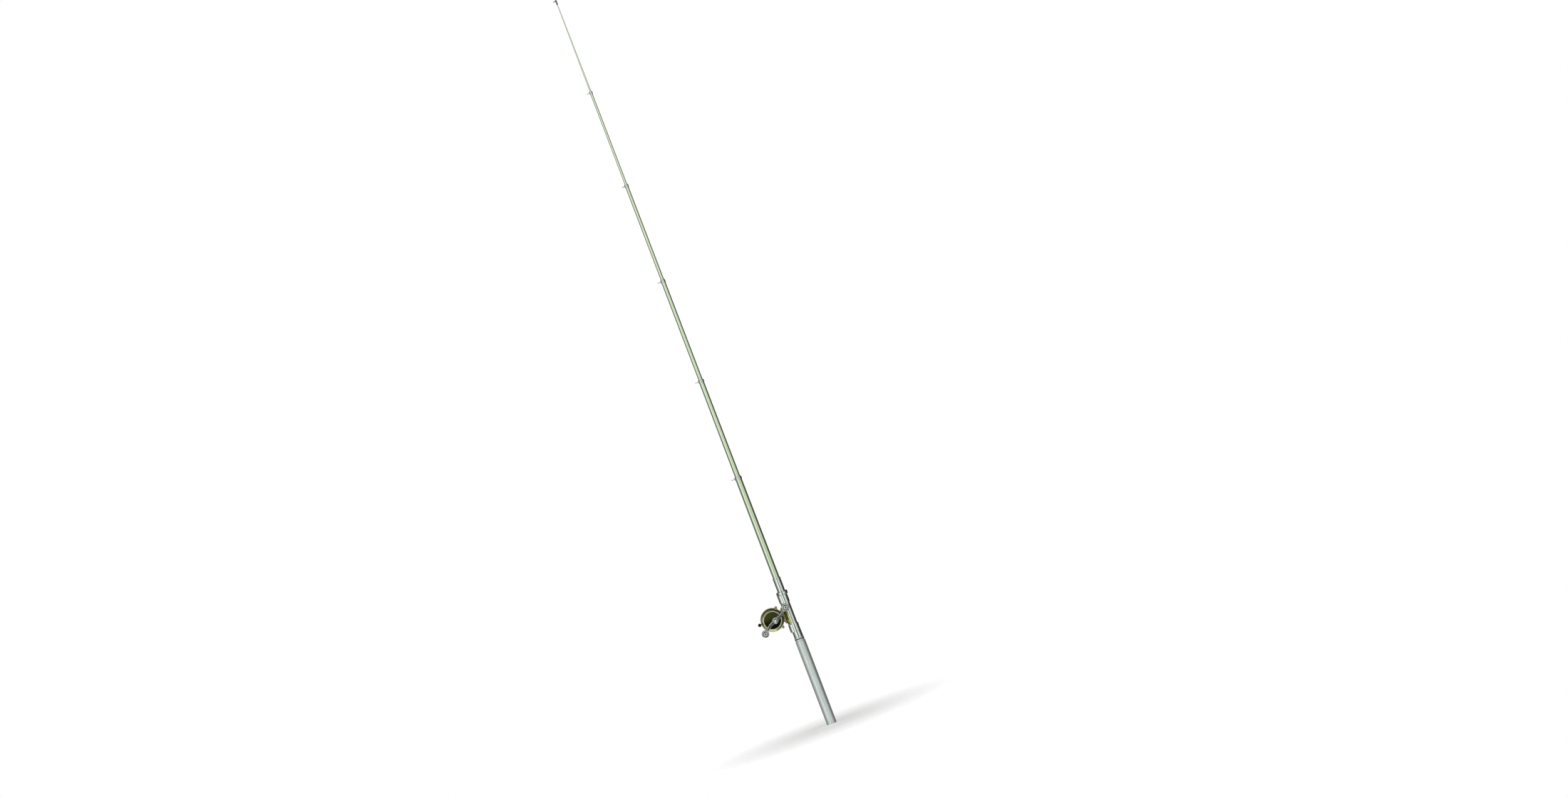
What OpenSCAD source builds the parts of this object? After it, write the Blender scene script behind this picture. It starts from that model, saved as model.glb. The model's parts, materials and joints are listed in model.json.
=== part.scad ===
// Telescopic pocket rod with a miniature drum reel.
// +Z runs along the rod from the butt to the tip, the reel hangs on -X and its crank faces -Y.
// The origin is the centre of the butt's end face. Sizes are in millimetres.

/* [Handle and seat] */
// Outer diameter of the handle barrel
handle_d = 13; // [12.8:0.1:14]
// Height of the handle barrel's shoulder
handle_h = 112.5; // [108:0.5:114]
// Outer diameter of the reel seat tube
seat_d = 10; // [9.9:0.05:10.05]
// Height of the seat tube's mouth
seat_top = 197; // [196:0.5:204]

/* [Rod sections] */
// Heights of the upper ends of sections 6 to 1, from the butt side to the tip
section_tops = [334, 465, 600, 729, 855, 978];
// Outer radii of sections 6 to 1 where they leave the section below
section_base_r = [4.40, 3.46, 2.78, 2.25, 1.65, 1.08];
// Outer radii of sections 6 to 1 at their upper ends
section_tip_r = [4.12, 3.26, 2.72, 2.18, 1.52, 0.60];
// Length of a section that stays inside the one below when the rod is drawn out
section_overlap = 16; // [12:1:17]
// Length of the metal collar that carries each line guide
collar_h = 4; // [3:0.5:5]

/* [Reel] */
// Distance from the rod's axis to the spool's axis
reel_reach = 23.7; // [23.5:0.1:24.5]
// Height of the spool's axis above the butt
reel_z = 149.2; // [149:0.1:151]
// Outer radius of the side covers
cover_r = 14.8; // [14.6:0.1:14.9]
// Depth of the crank side cover
crank_cover_depth = 4.6; // [4.6:0.1:5]
// Depth of the far side cover
far_cover_depth = 4.3; // [4.3:0.1:4.8]
// Outer radius of the wound line
line_r = 9.4; // [7:0.1:10]

/* [Crank] */
// Distance from the crank's axis to each knob's axis
crank_arm_len = 21; // [19:0.5:22]
// Sideways swing of the arm's S curve
crank_swing = 1.35; // [0.8:0.05:1.6]
// Direction of the first knob from the crank's axis, from the rod side towards the tip
crank_rest = 32.6; // [0:0.1:90]

/* [Gears] */
// Gear module
gear_module = 0.3; // [0.3]
// Teeth on the drive gear
drive_teeth = 16; // [16]
// Teeth on the spool pinion
pinion_teeth = 8; // [8]
// Teeth on the ratchet wheel
ratchet_teeth = 12; // [12]

/* [Hidden] */

$fn = 72;
fit = 0.02;              // gap left around pieces that are pressed or glued together
run = 0.04;              // radial gap of a running fit
cut = 1;                 // how far a cutting tool runs past the piece it cuts

// Handle and seat
handle_r = handle_d / 2;
seat_r = seat_d / 2;
seat_bore_r = section_base_r[0] + 0.1;
seat_bottom = 95;
butt_cap_h = 3;
plug_h = 7;
cushion_h = 2;
neck_r = handle_r - 0.5;
neck_top = handle_h + 4.7;
seal_z = handle_h + 2.6;
seal_wire_r = 0.5;
hood_bore_r = seat_r + run;
hood_r = 5.75;
hood_bulge_r = 5.3;
hood_bulge_shift = 2.3;
rear_hood_z = [125.6, 135.5];
sliding_hood_z = [164, 179];
flange_h = 4.6;
flange_r = 7.25;
hood_slot_half = 4.4;
tongue_r = seat_r + 1.25;

// Rod sections
wall = [0.5, 0.36, 0.36, 0.43, 0.32, 0.6];
flare = 0.06;
flare_h = 9;
mouth_h = 3;
mouth_in = 0.07;
eye_r = [1.75, 1.6, 1.45, 1.3, 1.1];
tip_eye_r = 0.9;
tip_collar_h = 6;

// Reel foot and stand
foot_r = 7.1;
foot_edge_x = -2.7;      // how far the foot wraps round the seat tube
foot_end_gap = 0.8;      // between the thick part of the foot and a hood
stand_x = [-8.5, -foot_r - fit];
stand_half_w = 3.6;
stand_half_h = 10.5;
stand_boss_r = 1.35;
stand_rivet_z = 9.2;
stand_rivet_r = 0.8;
stand_rivet_head = [1.25, 0.7];

// Reel, measured outwards from the middle of the spool
plate_in = 7;
plate_t = 1;
plate_out = plate_in + plate_t;
plate_r = 14.2;
ear_r = 1.7;
ear_at = cover_r + 1.3;
pillar_ears = [-53, 53];
stand_angle = 24;
stand_ears = [-stand_angle, stand_angle];
pillar_r = 1.3;
rear_pillar_at = 12.85;
screw_r = 0.6;
screw_head_r = 1;
screw_head_h = 0.8;
screw_reach = 3.5;       // length of a screw inside its pillar
bezel_w = 3;
face_t = 1;
face_sink = 0.6;         // how far the cover's face lies below its bezel
cap_r = 10.85;
ring_r = cover_r - bezel_w;
spool_r = 11.4;
spool_half = 6.4;
spool_hub_r = 5;
spool_flange_t = 1.1;
shaft_r = 1;
cover_boss_at = 12.2;
cover_boss_angles = [100, 260];
cover_screw_r = 0.5;
spool_bush_r = 1.7;
spool_bush_collar = [2, 0.4];

// Crank and gears
centre_distance = gear_module * (drive_teeth + pinion_teeth) / 2;
crank_side_angle = -21;
crank_u = centre_distance * cos(crank_side_angle);
crank_v = centre_distance * sin(crank_side_angle);
gear_w = [8.4, 9.6];
tooth_half = 0.19;       // half a tooth's width at the pitch circle, with some backlash
flank_slope = 0.42;      // how fast a tooth narrows outwards
spigot_r = 0.5;
ratchet_w = [9.9, 10.7];
drive_tail_r = 0.8;      // the drive shaft steps up outwards: tail, gear seat, journal
drive_seat_r = 1.2;
drive_journal_r = 1.6;
drive_end_r = 1;
inner_bush_r = 1.4;
outer_bush_r = 2.4;
outer_bush_flange = [3, 0.45];
bush_top = 14.1;
arm_w = [14.6, 15.9];
square_half = 1.1;
knob_w = 16.2;
knob_h = 7.2;
rivet_r = 0.9;

// Lever
lever_u = -9.8;
lever_v = 0;
lever_w = [9.95, 10.65];
lever_post_r = 0.7;
lever_groove_r = 0.45;
lever_pin_r = 0.6;       // pin that carries the lever's knob
pawl_angle = 21.7;       // with the lever released; 12 degrees less puts the pawl between two teeth
lever_knob_u = -17.2;
steep_face = 100.8;
ratchet_r = 4;
ratchet_root_r = 3.3;

// Points of an arc about (x, y), from one angle to another.
function arc(x, y, r, from, to, steps = 8) =
    [for (i = [0:steps]) let (a = from + (to - from) * i / steps) [x + r * cos(a), y + r * sin(a)]];

// A plain tube along Z.
module tube(r_out, r_in, z0, z1) {
    difference() {
        translate([0, 0, z0]) cylinder(r = r_out, h = z1 - z0);
        translate([0, 0, z0 - cut]) cylinder(r = r_in, h = z1 - z0 + 2 * cut);
    }
}

// Turns local axes so that X is towards the rod, Y is towards the tip and Z is outwards on the crank side.
module reel_axes() {
    translate([-reel_reach, 0, reel_z]) rotate([90, 0, 0]) children();
}

module crank_axes() {
    reel_axes() translate([crank_u, crank_v, 0]) children();
}

// ---- Handle and reel seat ----

module handle_tube() {
    color("silver") difference() {
        rotate_extrude() polygon([
            [seat_r + fit, butt_cap_h + fit], [handle_r - 0.15, butt_cap_h + fit],
            [handle_r, butt_cap_h + 0.15], [handle_r, handle_h - 0.4], [handle_r - 0.4, handle_h],
            [neck_r, handle_h], [neck_r, neck_top - 0.3], [neck_r - 0.3, neck_top], [seat_r + fit, neck_top]
        ]);
        rotate_extrude() translate([neck_r, seal_z]) circle(r = seal_wire_r + fit, $fn = 32);
    }
}

module butt_cap() {
    plug_r = seat_r - fit;
    color("silver") rotate_extrude() polygon([
        [0, 0], [handle_r - 0.5, 0], [handle_r, 0.5], [handle_r, butt_cap_h - 0.15],
        [handle_r - 0.15, butt_cap_h], [plug_r - 0.4, butt_cap_h], [plug_r - 0.4, butt_cap_h + 1],
        [plug_r, butt_cap_h + 1.4], [plug_r, butt_cap_h + plug_h - 0.5],
        [plug_r - 0.5, butt_cap_h + plug_h], [0, butt_cap_h + plug_h]
    ]);
}

module butt_cushion() {
    cushion_z = butt_cap_h + plug_h + fit;
    color("dimgray") translate([0, 0, cushion_z]) cylinder(r = seat_r - 0.4, h = cushion_h);
}

module seat_tube() {
    color("white") rotate_extrude() polygon([
        [seat_bore_r, seat_bottom], [seat_r, seat_bottom], [seat_r, seat_top - 1.6],
        [seat_r + 0.2, seat_top - 1.4], [seat_r + 0.2, seat_top - 0.2], [seat_r, seat_top],
        [seat_bore_r - mouth_in, seat_top], [seat_bore_r - mouth_in, seat_top - mouth_h],
        [seat_bore_r, seat_top - mouth_h - 1]
    ]);
}

module seat_collar() {
    collar_z = neck_top + fit;
    collar_r = 5.85;
    collar_end = rear_hood_z[0] - fit;
    color("white") rotate_extrude() polygon([
        [seat_r + fit, collar_z], [neck_r, collar_z], [neck_r, collar_z + 1], [collar_r, collar_z + 1.3],
        [collar_r, collar_end - 0.4], [collar_r - 0.4, collar_end], [seat_r + fit, collar_end]
    ]);
}

module seal_ring() {
    color("black") rotate_extrude() translate([neck_r, seal_z]) circle(r = seal_wire_r, $fn = 32);
}

// Outline of a hood sleeve: round over the tube, with a bulge over the reel foot.
module hood_outline() {
    circle(r = hood_r);
    translate([-hood_bulge_shift, 0]) circle(r = hood_bulge_r);
}

// The channel that takes the foot's tongue, open at z0.
module hood_channel(z0, z1) {
    intersection() {
        tube(tongue_r + 0.2, seat_r - cut, z0, z1);
        translate([-2 * seat_r, -hood_slot_half, z0]) cube([2 * seat_r, 2 * hood_slot_half, z1 - z0]);
    }
}

module rear_hood() {
    stop = 1.5;
    color("white") difference() {
        translate([0, 0, rear_hood_z[0]]) linear_extrude(rear_hood_z[1] - rear_hood_z[0]) hood_outline();
        translate([0, 0, rear_hood_z[0] - cut])
            cylinder(r = seat_r + fit, h = rear_hood_z[1] - rear_hood_z[0] + 2 * cut);
        hood_channel(rear_hood_z[0] + stop, rear_hood_z[1] + cut);
    }
}

module sliding_hood() {
    stop = 0.8;
    flange_z = sliding_hood_z[1] - flange_h;
    color("white") difference() {
        union() {
            translate([0, 0, sliding_hood_z[0]])
                linear_extrude(sliding_hood_z[1] - sliding_hood_z[0] - 1) hood_outline();
            rotate_extrude() polygon([
                [0, flange_z], [flange_r - 0.5, flange_z], [flange_r, flange_z + 0.5],
                [flange_r, sliding_hood_z[1] - 0.5], [flange_r - 0.5, sliding_hood_z[1]],
                [0, sliding_hood_z[1]]
            ]);
        }
        translate([0, 0, sliding_hood_z[0] - cut])
            cylinder(r = hood_bore_r, h = sliding_hood_z[1] - sliding_hood_z[0] + 2 * cut);
        hood_channel(sliding_hood_z[0] - cut, sliding_hood_z[1] - stop);
    }
}

// ---- Telescopic blank ----

// Section i counts from the butt side: 0 is the thickest, 5 is the tip section.
module rod_section(i) {
    below_top = i == 0 ? seat_top : section_tops[i - 1];
    top = section_tops[i];
    bottom = below_top - section_overlap;
    base_r = section_base_r[i];
    tip_r = section_tip_r[i];
    bore = tip_r - wall[i];
    outside = [
        [base_r + flare, bottom], [base_r + flare, bottom + flare_h],
        [base_r, bottom + flare_h + 1], [tip_r, top]
    ];
    mouth = bore - mouth_in;
    inside = bore > 0
        ? [[mouth, top], [mouth, top - mouth_h], [bore, top - mouth_h - 1], [bore, bottom]]
        : [[0, top], [0, bottom]];
    color("darkkhaki") rotate_extrude() polygon(concat(outside, inside));
}

// A line ring on a short web, standing off a collar of radius collar_out.
module guide_eye(collar_out, ring_r, web_h) {
    wire = 0.42;
    eye_x = -(collar_out + ring_r + wire);
    difference() {
        union() {
            translate([0, 0.3, 0]) rotate([90, 0, 0]) linear_extrude(0.6) polygon([
                [0.3 - collar_out, -web_h / 2], [0.3 - collar_out, web_h / 2],
                [eye_x + ring_r, wire * 0.8], [eye_x + ring_r, -wire * 0.8]
            ]);
            translate([eye_x, 0, 0]) rotate_extrude() polygon([
                [ring_r, -wire * 0.6], [ring_r + wire * 0.4, -wire], [ring_r + wire, -wire],
                [ring_r + wire * 1.4, -wire * 0.6], [ring_r + wire * 1.4, wire * 0.6],
                [ring_r + wire, wire], [ring_r + wire * 0.4, wire], [ring_r, wire * 0.6]
            ]);
        }
        translate([eye_x, 0, -cut]) cylinder(r = ring_r, h = 2 * cut, $fn = 48);
    }
}

// Collar and ring on the upper end of section i.
module line_guide(i) {
    top = section_tops[i];
    collar_out = section_tip_r[i] + 0.45;
    color("white") difference() {
        union() {
            rotate_extrude() polygon([
                [0, top - collar_h], [collar_out - 0.15, top - collar_h], [collar_out, top - collar_h + 0.3],
                [collar_out, top - 0.3], [collar_out - 0.15, top], [0, top]
            ]);
            translate([0, 0, top - collar_h / 2]) guide_eye(collar_out, eye_r[i], collar_h * 0.7);
        }
        // The collar grips the gentle taper of the blank.
        translate([0, 0, top - collar_h - cut])
            cylinder(r = section_tip_r[i] + 0.03, h = collar_h + 2 * cut);
    }
}

module tip_guide() {
    top = section_tops[5] + 0.4;
    bottom = section_tops[5] - tip_collar_h;
    collar_out = section_tip_r[5] + 0.4;
    socket = section_tip_r[5] + 0.05;
    color("dimgray") difference() {
        union() {
            rotate_extrude() polygon([
                [0, bottom], [collar_out - 0.1, bottom], [collar_out, bottom + 0.3],
                [collar_out, top - 0.3], [collar_out - 0.3, top], [0, top]
            ]);
            translate([0, 0, top - 1.6]) guide_eye(collar_out, tip_eye_r, 2.4);
        }
        translate([0, 0, bottom - cut]) cylinder(r = socket, h = tip_collar_h + cut + fit);
    }
}

// ---- Reel foot and stand ----

// A strip of tube wall on the reel's side: half_width either side of the middle, and inwards to edge_x.
module saddle(r_out, half_width, edge_x, z0, z1) {
    reach = 3 * seat_r;
    intersection() {
        tube(r_out, seat_r + run, z0, z1);
        translate([-reach, -half_width, z0]) cube([reach + edge_x, 2 * half_width, z1 - z0]);
    }
}

module reel_foot() {
    color("goldenrod") difference() {
        union() {
            saddle(tongue_r, hood_slot_half - 0.2, 0, rear_hood_z[0] + 2, sliding_hood_z[1] - 1.2);
            saddle(
                foot_r, foot_r, foot_edge_x, rear_hood_z[1] + foot_end_gap, sliding_hood_z[0] - foot_end_gap
            );
        }
        for (side = [-1, 1])
            translate([-2 * seat_r, 0, reel_z + side * stand_rivet_z])
                rotate([0, 90, 0]) cylinder(r = stand_rivet_r + fit, h = 2 * seat_r, $fn = 32);
    }
}

module reel_stand() {
    boss_x = ear_at * cos(stand_angle) - reel_reach;
    boss_z = ear_at * sin(stand_angle);
    neck_x = boss_x - stand_boss_r / 2;
    width = 2 * stand_half_w;
    color("khaki") difference() {
        union() {
            translate([stand_x[0], -stand_half_w, reel_z - stand_half_h])
                cube([stand_x[1] - stand_x[0], width, 2 * stand_half_h]);
            translate([neck_x, -stand_half_w, reel_z - boss_z])
                cube([stand_x[1] - neck_x, width, 2 * boss_z]);
            reel_axes() at_ears(stand_ears) translate([0, 0, fit - plate_in])
                cylinder(r = stand_boss_r, h = 2 * (plate_in - fit));
        }
        for (side = [-1, 1])
            translate([stand_x[0] - cut, 0, reel_z + side * stand_rivet_z])
                rotate([0, 90, 0]) cylinder(r = stand_rivet_r + fit, h = 3 * cut, $fn = 32);
        reel_axes() at_ears(stand_ears) translate([0, 0, -plate_in - cut])
            cylinder(r = screw_r + fit, h = 2 * (plate_in + cut), $fn = 32);
    }
}

module stand_rivets() {
    head_x = stand_x[0] - fit;
    color("goldenrod") for (side = [-1, 1])
        translate([head_x, 0, reel_z + side * stand_rivet_z]) rotate([0, 90, 0]) {
            cylinder(r = stand_rivet_r, h = -head_x - seat_r - 0.15, $fn = 32);
            rotate_extrude() polygon(concat(
                [[0, 0]],
                [for (p = arc(0, 0, 1, 0, -90, 6)) [stand_rivet_head[0] * p[0], stand_rivet_head[1] * p[1]]]
            ));
        }
}

// ---- Reel frame ----

// Runs its children at each ear of a side plate.
module at_ears(angles) {
    for (a = angles) rotate(a) translate([ear_at, 0, 0]) children();
}

// Runs its children at each screw that holds a cover.
module at_cover_screws() {
    for (a = cover_boss_angles) rotate(a) translate([cover_boss_at, 0, 0]) children();
}

// Side plate on the crank side; the far one is its mirror image with fewer holes.
module plate_blank() {
    t = plate_t - 0.01;
    ear_w = 3;
    ear_len = 4;
    difference() {
        union() {
            translate([0, 0, plate_in]) cylinder(r = plate_r, h = t);
            at_ears(concat(pillar_ears, stand_ears)) {
                translate([0, 0, plate_in]) cylinder(r = ear_r, h = t, $fn = 40);
                translate([-ear_len, -ear_w / 2, plate_in]) cube([ear_len, ear_w, t]);
            }
        }
        at_ears(concat(pillar_ears, stand_ears)) hole(screw_r + fit);
        rotate(180) translate([rear_pillar_at, 0, 0]) hole(screw_r + fit);
        at_cover_screws() hole(cover_screw_r + fit);
        hole(spool_bush_r + fit);
    }
}

// A round hole through a side plate.
module hole(r) {
    translate([0, 0, plate_in - cut]) cylinder(r = r, h = plate_t + 2 * cut, $fn = 40);
}

module crank_side_plate() {
    color("goldenrod") reel_axes() difference() {
        plate_blank();
        translate([crank_u, crank_v, 0]) hole(inner_bush_r + fit);
        translate([lever_u, lever_v, 0]) hole(lever_post_r + fit);
    }
}

module far_side_plate() {
    color("goldenrod") reel_axes() mirror([0, 0, 1]) plate_blank();
}

// Side cover: a skirt, a sloping bezel and a sunken face with two screw bosses inside.
module cover(depth) {
    top = plate_out + depth;
    face_top = top - face_sink;
    wall_t = 0.9;
    skirt_r = cover_r - wall_t;
    // The hollow's corner follows the bezel at a wall's thickness.
    corner = ring_r + top - wall_t * sqrt(2);
    // The bezel bulges a little, so that its lean differs by this many degrees from its middle to its edges.
    bulge = 12;
    bezel_r = bezel_w / (sqrt(2) * sin(bulge));
    first = 45 - bulge;
    boss_h = depth - face_sink - 0.9;
    pilot_h = 1.6;
    rotate_extrude($fn = 96) polygon(concat(
        [
            [0, face_top - face_t], [corner - (face_top - face_t), face_top - face_t],
            [skirt_r, corner - skirt_r], [skirt_r, plate_out], [cover_r, plate_out]
        ],
        arc(cover_r - bezel_r * cos(first), top - bezel_w - bezel_r * sin(first), bezel_r, first, 90 - first),
        [[ring_r, face_top], [0, face_top]]
    ));
    at_cover_screws() translate([0, 0, plate_out]) difference() {
        cylinder(r = 1.1, h = boss_h, $fn = 32);
        translate([0, 0, -cut]) cylinder(r = cover_screw_r + fit, h = cut + pilot_h, $fn = 32);
    }
}

module outer_bush_hole() {
    translate([crank_u, crank_v, plate_out]) cylinder(r = outer_bush_r + fit, h = crank_cover_depth + 3);
}

module crank_side_cover() {
    slot_angle = 177.8;
    slot_w = 5;
    clearance = 0.2;
    color("goldenrod") reel_axes() difference() {
        cover(crank_cover_depth);
        outer_bush_hole();
        rotate(slot_angle) translate([ring_r, -slot_w / 2, lever_w[0] - clearance])
            cube([bezel_w + cut, slot_w, lever_w[1] - lever_w[0] + 2 * clearance]);
    }
}

module far_side_cover() {
    color("goldenrod") reel_axes() mirror([0, 0, 1]) cover(far_cover_depth);
}

// Bright bead around the cap.
module bead_ring(depth) {
    floor_w = plate_out + depth - face_sink + fit;
    r0 = cap_r + fit;
    r1 = ring_r - fit;
    mid = (r0 + r1) / 2;
    rotate_extrude($fn = 96) polygon(concat(
        [[r0, floor_w], [r1, floor_w]], arc(mid, floor_w + 0.8, mid - r0, 0, 180, 8)
    ));
}

module crank_side_ring() {
    color("gold") reel_axes() bead_ring(crank_cover_depth);
}

module far_side_ring() {
    color("gold") reel_axes() mirror([0, 0, 1]) bead_ring(far_cover_depth);
}

// Slightly domed black cap.
module cap(depth) {
    floor_w = plate_out + depth - face_sink + fit;
    dome = 0.4;
    edge = 1.2;
    dome_r = (cap_r * cap_r + dome * dome) / (2 * dome);
    half = asin((cap_r - 0.3) / dome_r);
    crown = floor_w + edge + dome;
    rotate_extrude($fn = 96) polygon(concat(
        [[0, floor_w], [cap_r, floor_w], [cap_r, floor_w + edge - 0.3]],
        arc(0, crown - dome_r, dome_r, 90 - half, 90, 10)
    ));
}

module crank_side_cap() {
    color([0.06, 0.06, 0.05]) reel_axes() difference() {
        cap(crank_cover_depth);
        outer_bush_hole();
    }
}

module far_side_cap() {
    color([0.06, 0.06, 0.05]) reel_axes() mirror([0, 0, 1]) cap(far_cover_depth);
}

module frame_pillars() {
    color("goldenrod") reel_axes() {
        at_ears(pillar_ears) pillar();
        rotate(180) translate([rear_pillar_at, 0, 0]) pillar();
    }
}

// A pillar tapped from end to end.
module pillar() {
    tube(pillar_r, screw_r + fit, fit - plate_in, plate_in - fit);
}

// Slotted cheese-head screw whose head sits on a side plate, seen from the crank side.
module screw() {
    bevel = 0.2;
    slot_w = 0.3;
    slot_floor = plate_out + 0.5;
    shank_z = plate_in - screw_reach;
    translate([0, 0, shank_z]) cylinder(r = screw_r, h = plate_out - shank_z + 2 * fit, $fn = 32);
    difference() {
        translate([0, 0, plate_out + fit]) rotate_extrude($fn = 32) polygon([
            [0, 0], [screw_head_r, 0], [screw_head_r, screw_head_h - bevel],
            [screw_head_r - bevel, screw_head_h], [0, screw_head_h]
        ]);
        translate([-2 * screw_head_r, -slot_w / 2, slot_floor]) cube([4 * screw_head_r, slot_w, cut]);
    }
}

// Copies its children onto both sides of the reel.
module both_sides() {
    children();
    mirror([0, 0, 1]) children();
}

module pillar_screws() {
    color("silver") reel_axes() both_sides() {
        at_ears(pillar_ears) screw();
        rotate(180) translate([rear_pillar_at, 0, 0]) screw();
    }
}

module stand_screws() {
    color("silver") reel_axes() both_sides() at_ears(stand_ears) screw();
}

// Screws that hold the covers, put in from the spool side; their low heads lie against the plate.
module cover_screws() {
    head_r = 0.95;
    head_h = 0.4;
    head_z = plate_in - head_h - 0.05;
    length = 2.8;
    color("silver") reel_axes() both_sides() at_cover_screws() translate([0, 0, head_z]) {
        cylinder(r = cover_screw_r, h = length, $fn = 32);
        rotate_extrude($fn = 32) polygon([
            [0, 0], [head_r, 0], [head_r, head_h / 2], [head_r - 0.25, head_h], [0, head_h]
        ]);
    }
}

module spool_bushes() {
    collar_z = plate_in - spool_bush_collar[1];
    color("peru") reel_axes() both_sides() difference() {
        union() {
            translate([0, 0, collar_z])
                cylinder(r = spool_bush_collar[0], h = spool_bush_collar[1] - fit, $fn = 48);
            translate([0, 0, collar_z]) cylinder(r = spool_bush_r, h = 1.5, $fn = 48);
        }
        translate([0, 0, plate_in - cut]) cylinder(r = shaft_r + run, h = 4 * cut, $fn = 48);
    }
}

// The inner bush sits in the side plate, the outer one in the cover and cap.
module drive_bushes() {
    outer_z = plate_out + 3.1;
    flange_z = bush_top - outer_bush_flange[1];
    color("peru") crank_axes() {
        tube(inner_bush_r, drive_tail_r + run, plate_in, plate_out + 0.1);
        difference() {
            union() {
                translate([0, 0, outer_z]) cylinder(r = outer_bush_r, h = bush_top - outer_z);
                translate([0, 0, flange_z]) cylinder(r = outer_bush_flange[0], h = outer_bush_flange[1]);
            }
            translate([0, 0, plate_out]) cylinder(r = drive_journal_r + run, h = bush_top - plate_out + cut);
        }
    }
}

module lever_post() {
    groove = [lever_w[1] + 0.05, lever_w[1] + 0.21];
    color("silver") reel_axes() translate([lever_u, lever_v, 0]) difference() {
        translate([0, 0, plate_in]) cylinder(r = lever_post_r, h = 3.95, $fn = 40);
        tube(2 * lever_post_r, lever_groove_r, groove[0], groove[1]);
    }
}

module lever_clip() {
    mouth = 0.8;
    color("silver") reel_axes() translate([lever_u, lever_v, 0]) difference() {
        tube(1.3, lever_groove_r + fit, lever_w[1] + 0.06, lever_w[1] + 0.2);
        translate([0, -mouth / 2, lever_w[0]]) cube([2, mouth, 2]);
    }
}

// ---- Spool ----

module spool() {
    rim = 0.5;
    bevel = 0.2;
    relief = 0.3;
    relief_r = [3, spool_r - 2];
    // Half of the section, from the shaft to the bottom of the winding space.
    half = [
        [shaft_r + fit, spool_half], [relief_r[0], spool_half], [relief_r[0], spool_half - relief],
        [relief_r[1], spool_half - relief], [relief_r[1] + 0.4, spool_half],
        [spool_r - bevel, spool_half], [spool_r, spool_half - bevel], [spool_r, spool_half - 1],
        [spool_r - rim, spool_half - spool_flange_t], [spool_hub_r, spool_half - spool_flange_t]
    ];
    last = len(half) - 1;
    color("gold") reel_axes() rotate_extrude($fn = 96) polygon(concat(
        half, [for (i = [last:-1:0]) [half[i][0], -half[i][1]]]
    ));
}

module wound_line() {
    half = spool_half - spool_flange_t - fit;
    crown = 0.35;
    color("whitesmoke") reel_axes() rotate_extrude($fn = 96) polygon([
        [spool_hub_r + fit, -half], [line_r - crown, -half], [line_r, -half / 2], [line_r, half / 2],
        [line_r - crown, half], [spool_hub_r + fit, half]
    ]);
}

// The pinion sits on a thinner spigot at the crank end.
module spool_shaft() {
    far_end = -9.3;
    shoulder = gear_w[0] - 0.15;
    color("silver") reel_axes() {
        translate([0, 0, far_end]) cylinder(r = shaft_r, h = shoulder - far_end, $fn = 48);
        translate([0, 0, shoulder - 0.05]) cylinder(r = spigot_r, h = 1.5, $fn = 48);
    }
}

// Spur gear outline with straight-flanked teeth; the first tooth points along X.
module gear_outline(teeth, addendum, dedendum) {
    pitch_r = gear_module * teeth / 2;
    tip = pitch_r + addendum;
    root = pitch_r - dedendum;
    step = 360 / teeth;
    function half_angle(r) = (tooth_half - flank_slope * (r - pitch_r)) / r * 180 / PI;
    polygon([for (i = [0:teeth - 1]) for (p = [[root, -1], [tip, -1], [tip, 1], [root, 1]])
        let (a = i * step + p[1] * half_angle(p[0])) [p[0] * cos(a), p[0] * sin(a)]]);
}

module pinion() {
    color("peru") reel_axes() rotate(crank_side_angle + 180 / pinion_teeth)
        translate([0, 0, gear_w[0] - 0.1]) linear_extrude(gear_w[1] - gear_w[0] + 0.2) difference() {
            gear_outline(pinion_teeth, 0.8 * gear_module, 1.15 * gear_module);
            circle(r = spigot_r + fit, $fn = 48);
        }
}

// ---- Crank and drive ----

module drive_shaft() {
    seat_z = gear_w[0] - 0.1;
    journal_z = ratchet_w[1] + 0.1;
    thread_z = arm_w[1] - 0.5;
    thread_len = 2.2;
    color("silver") crank_axes() rotate(crank_rest) {
        translate([0, 0, plate_in]) cylinder(r = drive_tail_r, h = gear_w[0] - plate_in, $fn = 48);
        translate([0, 0, seat_z]) cylinder(r = drive_seat_r, h = journal_z - seat_z, $fn = 48);
        translate([0, 0, journal_z]) cylinder(r = drive_journal_r, h = bush_top + 0.2 - journal_z, $fn = 48);
        translate([-square_half, -square_half, bush_top])
            cube([2 * square_half, 2 * square_half, arm_w[1] - bush_top]);
        translate([0, 0, thread_z]) cylinder(r = drive_end_r, h = thread_len, $fn = 48);
    }
}

module drive_gear() {
    color("peru") crank_axes() rotate(crank_side_angle + 180)
        translate([0, 0, gear_w[0]]) linear_extrude(gear_w[1] - gear_w[0]) difference() {
            gear_outline(drive_teeth, 0.67 * gear_module, 1.25 * gear_module);
            circle(r = drive_seat_r + fit, $fn = 48);
        }
}

// Saw teeth: each climbs against the clock and drops at its steep face.
module ratchet_wheel() {
    step = 360 / ratchet_teeth;
    steps = 3;
    color("silver") crank_axes() rotate(steep_face)
        translate([0, 0, ratchet_w[0]]) linear_extrude(ratchet_w[1] - ratchet_w[0]) difference() {
            polygon([for (i = [0:ratchet_teeth - 1]) for (k = [0:steps])
                let (a = (i + k / steps) * step - 0.01 * k,
                     r = ratchet_root_r + (ratchet_r - ratchet_root_r) * k / steps)
                [r * cos(a), r * sin(a)]]);
            circle(r = drive_seat_r + fit, $fn = 48);
        }
}

module crank_washer() {
    color("white") crank_axes() tube(2.9, drive_journal_r + fit, bush_top + 0.1, arm_w[0] - 0.15);
}

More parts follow.
